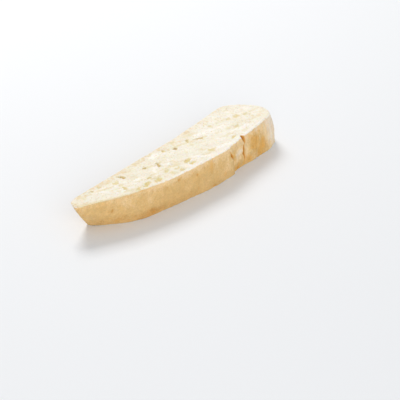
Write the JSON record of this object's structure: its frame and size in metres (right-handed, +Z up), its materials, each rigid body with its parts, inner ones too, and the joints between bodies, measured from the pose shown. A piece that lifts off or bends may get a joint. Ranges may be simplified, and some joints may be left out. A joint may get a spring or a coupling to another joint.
{
  "type": "biscotto slice",
  "caption": "Long D-shaped slice of a crisp twice-baked biscuit, lying on its cut face, with a pale pitted crumb and a golden domed crust that has split near the blunt end.",
  "frame": {"origin": "centre of the slice's bounding box, at the level of the surface it lies on", "axes": "+X along the loaf's flat base from the pointed end to the blunt end, -Y towards the domed crust, +Z up through the slice's thickness"},
  "size_m": [0.1369, 0.0298, 0.017],
  "materials": {
    "baked_biscuit": "matte"
  },
  "bodies": {
    "root": {"biscuit_slice": "baked_biscuit"}
  },
  "joints": []
}
